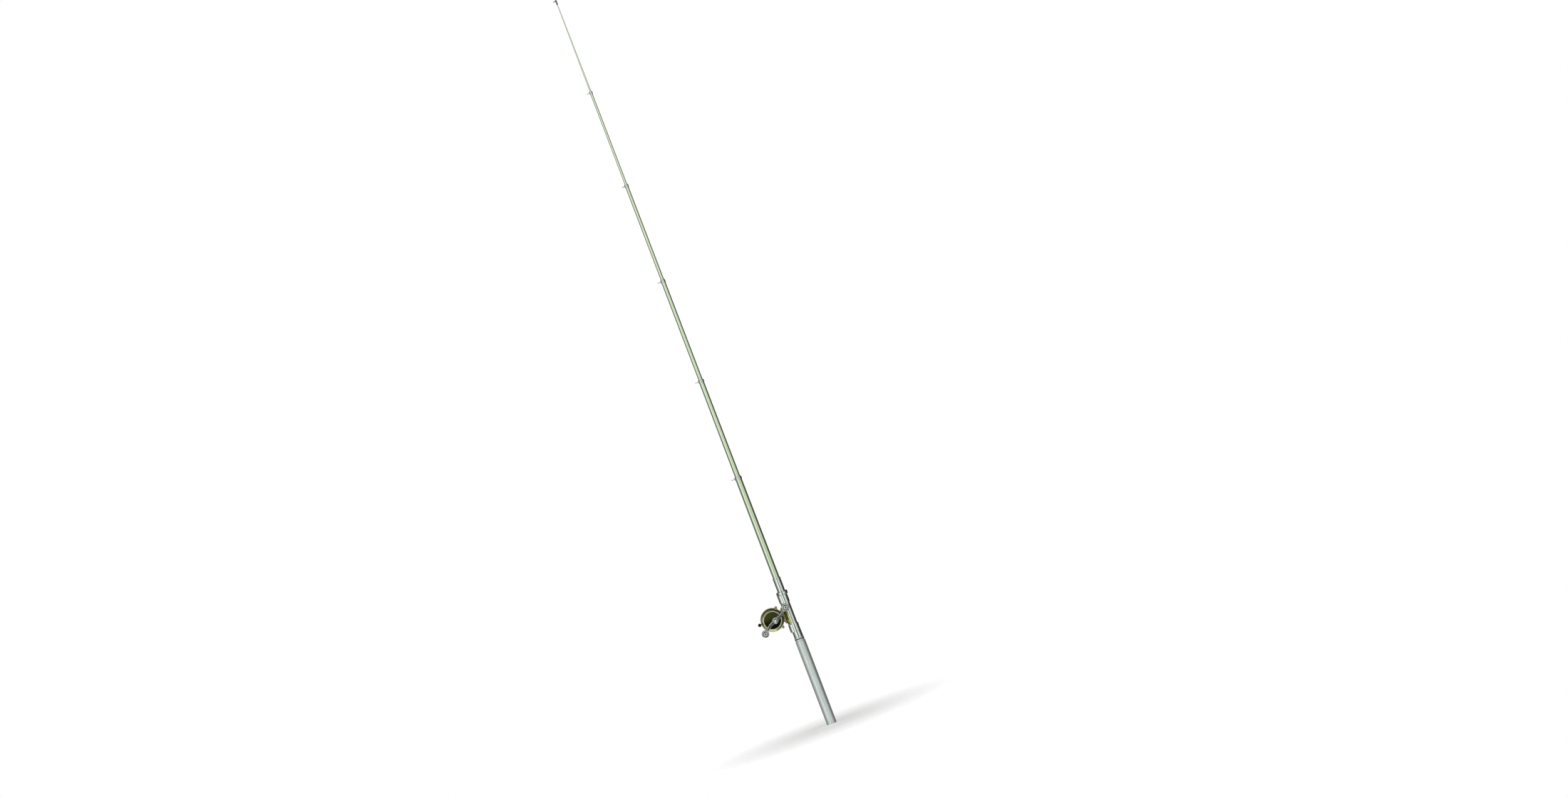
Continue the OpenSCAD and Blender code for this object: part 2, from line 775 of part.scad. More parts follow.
// S-shaped arm: it narrows towards the knobs, and its middle line swings from one side to the other.
module crank_arm() {
    steps = 14;
    hub_r = 4.2;
    eye = 2.5;
    half_w = [2.5, 1.6];
    square = 2 * (square_half + fit);
    thick = arm_w[1] - arm_w[0];
    knob_places = [-crank_arm_len, crank_arm_len];
    // Edge of the arm on one side, for t from -1 at one knob to 1 at the other.
    function edge(t, side) = [
        t * crank_arm_len,
        side * (half_w[0] + (half_w[1] - half_w[0]) * abs(t)) - crank_swing * sin(180 * t)
    ];
    upper = [for (i = [-steps:steps]) edge(i / steps, 1)];
    lower = [for (i = [steps:-1:-steps]) edge(i / steps, -1)];
    color("white") crank_axes() rotate(crank_rest) translate([0, 0, arm_w[0]]) difference() {
        union() {
            linear_extrude(thick) polygon(concat(upper, lower));
            cylinder(r = hub_r, h = thick);
            for (x = knob_places) translate([x, 0, 0]) cylinder(r = eye, h = thick, $fn = 48);
        }
        for (x = knob_places)
            translate([x, 0, -cut]) cylinder(r = rivet_r + fit, h = thick + 2 * cut, $fn = 40);
        translate([-square / 2, -square / 2, -cut]) cube([square, square, thick + 2 * cut]);
    }
}

// Domed nut with a thin flange under its six flats.
module crank_nut() {
    z0 = arm_w[1] + fit;
    flange = [3.3, 0.5];
    corner_r = 3.2;
    flats_h = 1.8;
    dome_r = 2.5;
    color("white") crank_axes() rotate(crank_rest) translate([0, 0, z0]) difference() {
        union() {
            cylinder(r = flange[0], h = flange[1], $fn = 48);
            cylinder(r = corner_r, h = flats_h, $fn = 6);
            translate([0, 0, flats_h - 0.1]) rotate_extrude($fn = 48)
                polygon(concat([[0, 0]], arc(0, 0, dome_r, 0, 90, 8)));
        }
        translate([0, 0, -cut]) cylinder(r = drive_end_r + fit, h = cut + 2, $fn = 48);
    }
}

// Runs its children at the two knobs; Z points outwards from the arm.
module at_knob(which) {
    crank_axes() rotate(crank_rest + 180 * (which - 1)) translate([crank_arm_len, 0, 0]) children();
}

// Headed on the knob's sunken top and riveted over behind the arm.
module knob_rivets() {
    tail_r = 1.5;
    tail_h = 0.5;
    head_r = 1.9;
    top = knob_w + knob_h;
    color("silver") for (which = [1, 2]) at_knob(which) rotate_extrude($fn = 40) polygon([
        [0, arm_w[0] - tail_h], [tail_r - 0.2, arm_w[0] - tail_h], [tail_r, arm_w[0] - tail_h + 0.2],
        [tail_r, arm_w[0] - fit], [rivet_r, arm_w[0] - fit], [rivet_r, top - 0.7], [head_r, top - 0.7],
        [head_r, top - 0.3], [head_r - 0.7, top], [0, top]
    ]);
}

// Waisted knob with a rounded foot and crown.
module knob(which) {
    top = knob_w + knob_h;
    foot_r = 0.55;
    waist_r = 2.1;
    crown_r = 0.9;
    sink = 0.8;
    color("white") at_knob(which) rotate_extrude($fn = 64) polygon(concat(
        [[rivet_r + run, knob_w], [4.5, knob_w]],
        arc(4.3, knob_w + foot_r, foot_r, -60, 90, 6),
        arc(5.3, knob_w + 3.3, waist_r, 240, 120, 8),
        arc(3.7, top - crown_r, crown_r, -40, 90, 6),
        [[2.6, top], [2.4, top - sink], [rivet_r + run, top - sink]]
    ));
}

// ---- Anti-reverse lever ----

module lever() {
    reach = norm([lever_knob_u - lever_u, lever_v]);
    knob_angle = atan2(-lever_v, lever_knob_u - lever_u);
    hub_r = 1.7;
    end_r = 1.5;
    arm_half = [1.2, 0.9];
    pawl = [
        [0, -0.9], [8, -0.1], [10.4, 0.4], [12.1, 0.1], [12.6, 0.05], [12.6, 0.7], [11.4, 1.3], [0, 1.3]
    ];
    color("gold") reel_axes() translate([lever_u, lever_v, lever_w[0]])
        linear_extrude(lever_w[1] - lever_w[0]) difference() {
            union() {
                circle(r = hub_r, $fn = 40);
                rotate(pawl_angle) polygon(pawl);
                rotate(knob_angle) {
                    polygon([
                        [0, -arm_half[0]], [reach, -arm_half[1]], [reach, arm_half[1]], [0, arm_half[0]]
                    ]);
                    translate([reach, 0]) circle(r = end_r, $fn = 40);
                }
            }
            circle(r = lever_post_r + run, $fn = 40);
            rotate(knob_angle) translate([reach, 0]) circle(r = lever_pin_r + fit, $fn = 32);
        }
}

// The knob's pin passes through the lever and ends in a small head behind it.
module lever_knob() {
    knob_r = 2.15;
    height = 2.4;
    bevel = 0.3;
    head = [1.1, 0.4];
    head_z = lever_w[0] - head[1];
    color([0.06, 0.06, 0.05]) reel_axes() translate([lever_knob_u, lever_v, 0]) {
        translate([0, 0, lever_w[1] + fit]) rotate_extrude($fn = 40) polygon([
            [0, 0], [knob_r - bevel, 0], [knob_r, bevel], [knob_r, height - 0.4],
            [knob_r - 0.45, height], [0, height]
        ]);
        translate([0, 0, head_z]) cylinder(r = lever_pin_r, h = lever_w[1] - head_z + 0.4, $fn = 32);
        translate([0, 0, head_z]) cylinder(r = head[0], h = head[1] - fit, $fn = 32);
    }
}

// Round wire swept along a path that lies around the post's axis.
module lever_spring() {
    wire_r = 0.17;
    coil_r = 1.15;
    turns = 2.5;
    per_turn = 18;
    sides = 6;
    pitch = 0.45;
    leg = 2.6;
    count = turns * per_turn;
    coil = [for (i = [0:count]) let (a = 360 * i / per_turn) [a, coil_r, pitch * i / per_turn]];
    // Each station holds a centre and the outward direction in the plane of the coil.
    stations = concat(
        [[[coil_r, -leg, 0], 0]],
        [for (c = coil) [[c[1] * cos(c[0]), c[1] * sin(c[0]), c[2]], c[0]]],
        [let (a = 360 * turns)
            [[coil_r * cos(a) - leg * sin(a), coil_r * sin(a) + leg * cos(a), pitch * turns], a]]
    );
    n = len(stations);
    points = [for (s = stations) for (k = [0:sides - 1])
        let (t = 360 * k / sides, out = wire_r * cos(t), up = wire_r * sin(t))
        [s[0][0] + out * cos(s[1]), s[0][1] + out * sin(s[1]), s[0][2] + up]];
    walls = [for (i = [0:n - 2]) for (k = [0:sides - 1])
        [i * sides + k, i * sides + (k + 1) % sides, (i + 1) * sides + (k + 1) % sides, (i + 1) * sides + k]];
    first = [for (k = [sides - 1:-1:0]) k];
    last = [for (k = [0:sides - 1]) (n - 1) * sides + k];
    color("silver") reel_axes() translate([lever_u, lever_v, plate_out + 0.3]) rotate(-60)
        polyhedron(points = points, faces = concat(walls, [first, last]));
}

handle_tube();
butt_cap();
butt_cushion();
seat_tube();
rear_hood();
seat_collar();
seal_ring();
sliding_hood();
rod_section(0);  // rod_section_6
rod_section(1);  // rod_section_5
rod_section(2);  // rod_section_4
rod_section(3);  // rod_section_3
rod_section(4);  // rod_section_2
rod_section(5);  // rod_section_1
line_guide(0);  // line_guide_6
line_guide(1);  // line_guide_5
line_guide(2);  // line_guide_4
line_guide(3);  // line_guide_3
line_guide(4);  // line_guide_2
tip_guide();
reel_foot();
reel_stand();
stand_rivets();
crank_side_plate();
far_side_plate();
crank_side_cover();
far_side_cover();
crank_side_ring();
far_side_ring();
crank_side_cap();
far_side_cap();
frame_pillars();
pillar_screws();
stand_screws();
cover_screws();
spool_bushes();
drive_bushes();
lever_post();
lever_clip();
spool();
wound_line();
spool_shaft();
pinion();
drive_shaft();
drive_gear();
ratchet_wheel();
crank_washer();
crank_arm();
crank_nut();
knob_rivets();
knob(1);  // knob_1
knob(2);  // knob_2
lever();
lever_knob();
lever_spring();
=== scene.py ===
"""Looks of the telescopic pocket rod: materials, line windings, floor, light and camera."""

import json
import math

import bpy
from mathutils import Matrix, Vector


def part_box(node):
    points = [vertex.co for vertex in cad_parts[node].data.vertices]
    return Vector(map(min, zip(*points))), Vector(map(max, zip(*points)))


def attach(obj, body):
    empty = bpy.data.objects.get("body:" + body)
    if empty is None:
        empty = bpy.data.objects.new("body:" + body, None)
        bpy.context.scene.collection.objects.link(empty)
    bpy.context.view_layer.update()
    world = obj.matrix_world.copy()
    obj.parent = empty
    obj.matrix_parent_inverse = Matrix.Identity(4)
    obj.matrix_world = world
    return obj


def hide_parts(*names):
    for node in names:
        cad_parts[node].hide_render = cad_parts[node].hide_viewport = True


MM = 0.001
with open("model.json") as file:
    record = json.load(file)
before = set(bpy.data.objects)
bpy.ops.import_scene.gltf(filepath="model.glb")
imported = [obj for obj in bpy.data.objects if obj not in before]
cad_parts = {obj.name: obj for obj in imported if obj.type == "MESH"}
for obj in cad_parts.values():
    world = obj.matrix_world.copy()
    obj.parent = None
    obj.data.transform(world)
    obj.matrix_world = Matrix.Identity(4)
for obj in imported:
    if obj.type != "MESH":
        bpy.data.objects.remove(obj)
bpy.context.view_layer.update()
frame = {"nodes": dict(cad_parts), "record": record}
NODES = frame["nodes"]
scene = bpy.context.scene
collection = scene.collection


# ---- Node helpers ----

class Nodes:
    """A node tree with short ways to add nodes."""

    def __init__(self, owner):
        owner.use_nodes = True
        self.tree = owner.node_tree
        self.tree.nodes.clear()

    def add(self, kind, **values):
        node = self.tree.nodes.new(kind)
        for key, value in values.items():
            setattr(node, key, value)
        return node

    def put(self, target, value):
        """Sets a socket to a constant, or links it to another socket."""
        if isinstance(value, bpy.types.NodeSocket):
            self.tree.links.new(value, target)
        else:
            target.default_value = value

    def math(self, operation, a, b=0.0):
        node = self.add("ShaderNodeMath", operation=operation)
        self.put(node.inputs[0], a)
        self.put(node.inputs[1], b)
        return node.outputs[0]

    def remap(self, value, low, high, new_low, new_high, **values):
        node = self.add("ShaderNodeMapRange", **values)
        self.put(node.inputs["Value"], value)
        numbers = {"From Min": low, "From Max": high, "To Min": new_low, "To Max": new_high}
        for key, number in numbers.items():
            node.inputs[key].default_value = number
        return node.outputs["Result"]


class Graph(Nodes):
    """A material's node tree around one principled shader."""

    def __init__(self, name):
        self.material = bpy.data.materials.new(name)
        super().__init__(self.material)
        self.output = self.add("ShaderNodeOutputMaterial")
        self.shader = self.add("ShaderNodeBsdfPrincipled")
        self.put(self.output.inputs["Surface"], self.shader.outputs["BSDF"])
        self.position = self.add("ShaderNodeTexCoord").outputs["Object"]

    def set(self, **values):
        """Sets inputs of the shader; an underscore stands for a space in an input's name."""
        for key, value in values.items():
            self.put(self.shader.inputs[key.replace("_", " ")], value)

    def stretched(self, x, y, z):
        """The object's own position in millimetres, scaled along each axis."""
        node = self.add("ShaderNodeMapping")
        self.put(node.inputs["Vector"], self.position)
        node.inputs["Scale"].default_value = (x / MM, y / MM, z / MM)
        return node.outputs[0]

    def noise(self, vector, detail=3.0, roughness=0.55, distortion=0.0):
        node = self.add("ShaderNodeTexNoise")
        self.put(node.inputs["Vector"], vector)
        node.inputs["Scale"].default_value = 1.0
        node.inputs["Detail"].default_value = detail
        node.inputs["Roughness"].default_value = roughness
        node.inputs["Distortion"].default_value = distortion
        return node.outputs["Fac"]

    def mix(self, factor, a, b):
        """Two colours blended by a factor."""
        node = self.add("ShaderNodeMix", data_type="RGBA")
        self.put(node.inputs[0], factor)
        for socket, value in ((node.inputs[6], a), (node.inputs[7], b)):
            self.put(socket, (*value, 1.0) if isinstance(value, (tuple, list)) else value)
        return node.outputs[2]

    def scratches(self, count_per_mm, seed):
        """Thin straight scratches in two directions, 1 on a scratch and 0 elsewhere."""
        found = None
        for k, turn in enumerate((0.6, 2.3)):
            node = self.add("ShaderNodeMapping")
            self.put(node.inputs["Vector"], self.position)
            node.inputs["Rotation"].default_value = (turn + seed, 0.7 * k, turn * 1.7)
            node.inputs["Scale"].default_value = (count_per_mm / MM, 0.05 / MM, count_per_mm / MM)
            lines = self.noise(node.outputs[0], detail=1.0, roughness=0.3)
            thin = self.math("ABSOLUTE", self.math("SUBTRACT", lines, 0.5))
            thin = self.remap(thin, 0.0, 0.012, 1.0, 0.0)
            here = self.noise(self.stretched(0.25, 0.25, 0.25), detail=1.0)
            thin = self.math("MULTIPLY", thin, self.remap(here, 0.5, 0.62, 0.0, 1.0))
            found = thin if found is None else self.math("MAXIMUM", found, thin)
        return found

    def rounded_normal(self, radius_mm):
        """Shades hard edges as if they were rounded."""
        node = self.add("ShaderNodeBevel", samples=4)
        node.inputs["Radius"].default_value = radius_mm * MM
        return node.outputs[0]

    def bump(self, height, distance_mm, strength=1.0, edge_mm=0.08):
        node = self.add("ShaderNodeBump")
        self.put(node.inputs["Height"], height)
        node.inputs["Distance"].default_value = distance_mm * MM
        node.inputs["Strength"].default_value = strength
        if edge_mm:
            self.put(node.inputs["Normal"], self.rounded_normal(edge_mm))
        return node.outputs[0]


# ---- Finishes ----

def satin_barrel():
    """Fine rings left by turning, softened by anodising, with handling marks."""
    g = Graph("satin_barrel")
    rings = g.noise(g.stretched(0.02, 0.02, 14.0), detail=4.0, roughness=0.7)
    grain = g.noise(g.stretched(9.0, 9.0, 9.0), detail=2.0)
    smudge = g.noise(g.stretched(0.09, 0.09, 0.05), detail=3.0, distortion=0.6)
    marks = g.scratches(2.2, 0.3)
    tone = g.mix(g.remap(smudge, 0.35, 0.7, 0.0, 1.0), (0.93, 0.985, 0.98), (0.87, 0.93, 0.92))
    tone = g.mix(g.math("MULTIPLY", marks, 0.35), tone, (0.93, 0.94, 0.93))
    rough = g.remap(rings, 0.3, 0.7, 0.37, 0.46)
    rough = g.math("ADD", rough, g.remap(smudge, 0.4, 0.75, 0.0, 0.06))
    height = g.math("ADD", g.math("MULTIPLY", rings, 0.6), g.math("MULTIPLY", grain, 0.4))
    height = g.math("SUBTRACT", height, g.math("MULTIPLY", marks, 0.5))
    g.set(Base_Color=tone, Metallic=0.8, Roughness=rough, Anisotropic=0.2,
          Sheen_Weight=0.8, Sheen_Roughness=0.35, Sheen_Tint=(0.95, 1.0, 0.99, 1.0),
          Normal=g.bump(height, 0.006, 0.8, 0.15))
    return g.material


def chrome(name, tint, rough=(0.03, 0.09), lines=1.0, edge_mm=0.1):
    """Bright plating with faint smears, dust and fine scratches."""
    g = Graph(name)
    smear = g.noise(g.stretched(0.16, 0.16, 0.1), detail=4.0, distortion=1.2)
    dust = g.noise(g.stretched(6.0, 6.0, 6.0), detail=2.0)
    marks = g.math("MULTIPLY", g.scratches(2.8, 1.1), lines)
    dull = tuple(0.86 * c for c in tint)
    tone = g.mix(g.remap(smear, 0.45, 0.75, 0.0, 0.8), tint, dull)
    roughness = g.remap(smear, 0.35, 0.75, *rough)
    roughness = g.math("ADD", roughness, g.math("MULTIPLY", marks, 0.18))
    roughness = g.math("ADD", roughness, g.remap(dust, 0.64, 0.8, 0.0, 0.04))
    wave = g.noise(g.stretched(0.5, 0.5, 0.5), detail=1.0)
    height = g.math("SUBTRACT", wave, g.math("MULTIPLY", marks, 0.12))
    g.set(Base_Color=tone, Metallic=1.0, Roughness=roughness,
          Normal=g.bump(height, 0.01, 0.4, edge_mm))
    return g.material


def lacquered_blank():
    """Champagne metallic lacquer under a clear coat, with orange peel and rub marks."""
    g = Graph("lacquered_blank")
    flake = g.noise(g.stretched(16.0, 16.0, 16.0), detail=1.0)
    cloud = g.noise(g.stretched(0.12, 0.12, 0.03), detail=3.0)
    rub = g.noise(g.stretched(1.6, 1.6, 0.12), detail=4.0, roughness=0.7)
    rub = g.remap(rub, 0.62, 0.78, 0.0, 1.0)
    tone = g.mix(cloud, (0.78, 0.92, 0.62), (0.83, 0.95, 0.67))
    tone = g.mix(g.remap(flake, 0.55, 0.75, 0.0, 0.35), tone, (0.93, 0.98, 0.80))
    tone = g.mix(g.math("MULTIPLY", rub, 0.25), tone, (0.48, 0.53, 0.37))
    rough = g.remap(flake, 0.3, 0.7, 0.16, 0.24)
    peel = g.noise(g.stretched(1.2, 1.2, 1.2), detail=2.0)
    coat = g.math("ADD", 0.04, g.math("MULTIPLY", rub, 0.16))
    g.set(Base_Color=tone, Metallic=0.94, Roughness=rough, Coat_Weight=0.8, Coat_Roughness=coat,
          Normal=g.bump(g.math("ADD", peel, g.math("MULTIPLY", flake, 0.3)), 0.008, 0.6, 0.1))
    return g.material


def gold_plate(name, tint, deep, rough=(0.09, 0.2), metallic=1.0):
    """Polished plate, thinner and browner where fingers rub it."""
    g = Graph(name)
    patch = g.noise(g.stretched(0.22, 0.22, 0.22), detail=4.0, distortion=0.8)
    pits = g.noise(g.stretched(4.5, 4.5, 4.5), detail=3.0)
    marks = g.scratches(3.0, 0.9)
    tone = g.mix(g.remap(patch, 0.4, 0.75, 0.0, 0.75), tint, deep)
    tone = g.mix(g.remap(pits, 0.66, 0.78, 0.0, 0.5), tone, tuple(0.4 * c for c in deep))
    roughness = g.remap(patch, 0.35, 0.7, *rough)
    roughness = g.math("ADD", roughness, g.math("MULTIPLY", marks, 0.15))
    height = g.math("SUBTRACT", g.math("MULTIPLY", pits, 0.5), g.math("MULTIPLY", marks, 0.3))
    g.set(Base_Color=tone, Metallic=metallic, Roughness=roughness,
          Normal=g.bump(height, 0.004, 0.3, 0.12))
    return g.material


def turned_metal(name, tint, rough, step_mm=0.12):
    """Bare turned metal with tool rings around the reel's axis and a little tarnish."""
    g = Graph(name)
    rings = g.noise(g.stretched(0.6, 1.0 / step_mm, 0.6), detail=3.0, roughness=0.65)
    tarnish = g.noise(g.stretched(0.5, 0.5, 0.5), detail=4.0, distortion=0.5)
    tone = g.mix(g.remap(tarnish, 0.45, 0.75, 0.0, 0.6), tint, tuple(0.62 * c for c in tint))
    roughness = g.math("ADD", rough, g.remap(tarnish, 0.4, 0.8, 0.0, 0.18))
    g.set(Base_Color=tone, Metallic=1.0, Roughness=roughness,
          Normal=g.bump(rings, 0.006, 0.6, 0.06))
    return g.material


def black_gloss():
    """Black enamel with an olive cast where it reflects, fine dust and swirl marks."""
    g = Graph("black_gloss")
    cloud = g.noise(g.stretched(0.2, 0.2, 0.2), detail=3.0)
    dust = g.noise(g.stretched(7.0, 7.0, 7.0), detail=2.0)
    marks = g.scratches(3.2, 1.9)
    tone = g.mix(cloud, (0.003, 0.004, 0.002), (0.007, 0.008, 0.003))
    tone = g.mix(g.remap(dust, 0.68, 0.8, 0.0, 0.5), tone, (0.05, 0.05, 0.04))
    rough = g.math("ADD", g.remap(cloud, 0.3, 0.7, 0.10, 0.16), g.math("MULTIPLY", marks, 0.15))
    wave = g.noise(g.stretched(0.7, 0.7, 0.7), detail=1.0)
    height = g.math("SUBTRACT", wave, g.math("MULTIPLY", marks, 0.15))
    g.set(Base_Color=tone, Roughness=rough, Normal=g.bump(height, 0.012, 0.5, 0.15),
          Specular_IOR_Level=1.0, Specular_Tint=(0.62, 0.74, 0.16, 1.0))
    return g.material


def matt_rubber():
    g = Graph("matt_rubber")
    grain = g.noise(g.stretched(5.0, 5.0, 5.0), detail=4.0, roughness=0.7)
    bloom = g.noise(g.stretched(0.6, 0.6, 0.6), detail=3.0)
    tone = g.mix(g.remap(bloom, 0.4, 0.75, 0.0, 0.6), (0.012, 0.012, 0.012), (0.05, 0.05, 0.048))
    rough = g.remap(grain, 0.3, 0.7, 0.62, 0.85)
    g.set(Base_Color=tone, Roughness=rough, Normal=g.bump(grain, 0.02, 0.7, 0.05))
    return g.material


def nylon_line():
    """Clear monofilament, slightly milky, with tiny nicks."""
    g = Graph("nylon_line")
    milk = g.noise(g.stretched(1.4, 1.4, 1.4), detail=3.0)
    nick = g.noise(g.stretched(11.0, 11.0, 11.0), detail=2.0)
    tone = g.mix(milk, (0.70, 0.77, 0.72), (0.86, 0.90, 0.86))
    rough = g.remap(milk, 0.3, 0.7, 0.16, 0.3)
    g.set(Base_Color=tone, Roughness=rough, IOR=1.53, Transmission_Weight=0.35,
          Subsurface_Weight=0.2, Subsurface_Radius=(MM, MM, MM),
          Normal=g.bump(nick, 0.01, 0.4, 0.0))
    return g.material


FINISHES = {
    "barrel": satin_barrel(),
    "seat_chrome": chrome("seat_chrome", (0.86, 0.92, 0.87)),
    "blank": lacquered_blank(),
    "guide_steel": chrome("guide_steel", (0.74, 0.76, 0.72), (0.12, 0.24)),
    "tip_steel": chrome("tip_steel", (0.22, 0.23, 0.21), (0.2, 0.34)),
    "rubber": matt_rubber(),
    "gold_brass": gold_plate("gold_brass", (0.82, 0.80, 0.42), (0.60, 0.52, 0.22)),
    "bead_gold": gold_plate("bead_gold", (0.98, 0.98, 0.84), (0.93, 0.90, 0.66), (0.20, 0.30), 0.6),
    "black_cap": black_gloss(),
    "steel": turned_metal("bright_steel", (0.76, 0.77, 0.76), 0.18),
    "bearing_brass": turned_metal("bearing_brass", (0.78, 0.58, 0.27), 0.22),
    "spool_alloy": gold_plate("spool_alloy", (0.86, 0.78, 0.42), (0.74, 0.63, 0.30), (0.16, 0.28)),
    "line": nylon_line(),
    "crank_chrome": chrome("crank_chrome", (0.90, 0.94, 0.91), (0.03, 0.07), 0.6, 0.5),
}


def dress(obj, slot):
    obj.data.materials.clear()
    obj.data.materials.append(FINISHES[slot])


for part in frame["record"]["subparts"]:
    dress(NODES[part["node"]], part["material_slot"])

# The arm is stamped, so its edges are rounder than those of the turned pieces beside it.
NODES["crank_arm"].data.materials[0] = chrome(
    "arm_chrome", (0.90, 0.94, 0.91), (0.03, 0.07), 0.6, 2.2)


# ---- Line windings ----

def mesh_object(name, points, faces, smooth=True):
    mesh = bpy.data.meshes.new(name)
    mesh.from_pydata(points, [], faces)
    mesh.validate()
    mesh.polygons.foreach_set("use_smooth", [smooth] * len(mesh.polygons))
    obj = bpy.data.objects.new(name, mesh)
    collection.objects.link(obj)
    return obj


def swept(path, radius):
    """Points and faces of a round strand along a path of (centre, outward, along-axis) stations."""
    sides = 6
    points, faces = [], []
    for centre, outward, axis in path:
        for k in range(sides):
            t = 2 * math.pi * k / sides
            points.append(centre + outward * (radius * math.cos(t)) + axis * (radius * math.sin(t)))
    for i in range(len(path) - 1):
        for k in range(sides):
            a, b = i * sides + k, i * sides + (k + 1) % sides
            faces.append((a, b, b + sides, a + sides))
    faces.append(tuple(range(sides - 1, -1, -1)))
    faces.append(tuple(range(len(points) - sides, len(points))))
    return points, faces


def turned(profile, middle, segments=64):
    """Points and faces of a closed ring turned around the reel's axis from (radius, y) pairs."""
    points, faces = [], []
    n = len(profile)
    for k in range(segments):
        a = 2 * math.pi * k / segments
        following = (k + 1) % segments
        for r, y in profile:
            points.append(middle + Vector((r * math.cos(a), y, r * math.sin(a))))
        for j in range(n):
            after = (j + 1) % n
            faces.append((k * n + j, k * n + after, following * n + after, following * n + j))
    return points, faces


def windings():
    """Three crossing layers of line laid over a core, inside the space of the solid ring."""
    low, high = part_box("wound_line")
    middle = (low + high) / 2
    radius = (high.x - low.x) / 2
    strand = 0.14 * MM
    half = (high.y - low.y) / 2 - strand
    hub = 5.1 * MM
    core = radius - 1.1 * MM
    layers = ((30, 1), (26, -1), (32, 1))      # turns, and the way each layer runs
    layer_step = 1.72 * strand
    wander_reach, wander_rate = 0.25 * strand, 7.3    # how far a turn strays, and how often
    crown_drop = 0.3 * MM                             # the wound line falls away to the flanges
    fill = 0.985                                      # share of the width that the turns reach
    per_turn = 40
    points, faces = [], []

    def join(more, extra_faces):
        base = len(points)
        points.extend(more)
        faces.extend(tuple(v + base for v in face) for face in extra_faces)

    for layer, (turns, direction) in enumerate(layers):
        path = []
        layer_r = radius - strand - layer_step * (len(layers) - 1 - layer)
        count = turns * per_turn
        for i in range(count + 1):
            share = i / count
            y = direction * half * (2 * share - 1)
            wander = wander_reach * math.sin(wander_rate * share * turns + layer)
            crown = crown_drop * (abs(y) / half) ** 3
            a = 2 * math.pi * share * turns + layer
            out = Vector((math.cos(a), 0, math.sin(a)))
            centre = middle + Vector((0, y * fill + wander, 0)) + out * (layer_r - crown)
            path.append((centre, out, Vector((0, 1, 0))))
        join(*swept(path, strand))

    edge, shoulder = core - 0.5 * MM, core - 0.15 * MM
    join(*turned((
        (hub, -half), (edge, -half), (shoulder, -0.95 * half), (core, -0.5 * half),
        (core, 0.5 * half), (shoulder, 0.95 * half), (edge, half), (hub, half)
    ), middle))
    return mesh_object("line_windings", points, faces)


line = windings()
line.data.materials.append(FINISHES["line"])
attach(line, "spool")
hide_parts("wound_line")


# ---- Floor ----

def pale_floor():
    """A wide pale sheet, lit from within, that fades into the white surroundings."""
    steps, radius, level = 96, 1.2, -0.5 * MM
    fade_from, fade_to = 0.03, 0.16
    turns = [2 * math.pi * k / steps for k in range(steps)]
    points = [Vector((radius * math.cos(a), radius * math.sin(a), level)) for a in turns]
    floor = mesh_object("floor", points, [tuple(range(steps))], False)
    g = Graph("pale_floor")
    grain = g.noise(g.stretched(0.8, 0.8, 0.8), detail=3.0)
    tone = g.mix(grain, (0.95, 0.955, 0.95), (0.98, 0.98, 0.975))
    length = g.add("ShaderNodeVectorMath", operation="LENGTH")
    g.put(length.inputs[0], g.position)
    fade = g.remap(length.outputs["Value"], fade_from, fade_to, 0.0, 1.0)
    # Polished metal mirrors the studio below it, not the sheet.
    fade = g.math("MAXIMUM", fade, g.add("ShaderNodeLightPath").outputs["Is Glossy Ray"])
    g.set(Base_Color=tone, Roughness=0.8, Specular_IOR_Level=0.1,
          Emission_Color=(1.0, 1.0, 0.995, 1.0), Emission_Strength=0.5,
          Normal=g.bump(grain, 0.02, 0.2, 0.0))
    clear = g.add("ShaderNodeBsdfTransparent")
    blend = g.add("ShaderNodeMixShader")
    g.put(blend.inputs[0], fade)
    g.put(blend.inputs[1], g.shader.outputs[0])
    g.put(blend.inputs[2], clear.outputs[0])
    g.put(g.output.inputs["Surface"], blend.outputs[0])
    floor.data.materials.append(g.material)


pale_floor()


# ---- Surroundings ----

# Brightness of the studio round the rod at eye height, by degrees to the right of the camera.
ROUND = (
    (-180, 0.14), (-140, 0.12), (-114, 0.12), (-92, 0.14), (-76, 0.26), (-60, 0.50),
    (-44, 0.97), (-24, 1.0), (-8, 0.85), (6, 0.70), (24, 0.78), (42, 0.74),
    (56, 0.46), (68, 0.18), (82, 0.05), (120, 0.04), (150, 0.10), (180, 0.14)
)
# Share of that brightness at each height in degrees, and the light added from below and above.
SHARE = ((-90, 0.0), (-45, 0.1), (-20, 0.9), (-8, 1.0), (22, 1.0), (48, 0.35), (90, 0.10))
ADDED = (
    (-90, 0.80), (-48, 0.72), (-22, 0.08), (-10, 0.0), (2, 0.0), (14, 0.10), (30, 0.04), (90, 0.03)
)
# How much of the added light each side gets.
ADDED_ROUND = ((-180, 1.0), (0, 1.0), (45, 0.30), (75, 0.10), (120, 0.12), (170, 0.9), (180, 1.0))
# Dark shape of the camera and its stand: its middle and its half sizes, in degrees across and up.
DARK_SHAPE = (0.0, -14.0, 13.0, 12.5)
# Where its edge starts and ends, as shares of its half size, and how bright it is inside.
DARK_EDGE = (0.88, 1.08)
DARK_LEVEL = 0.03
STUDIO_TINT = (0.965, 1.0, 0.96, 1.0)


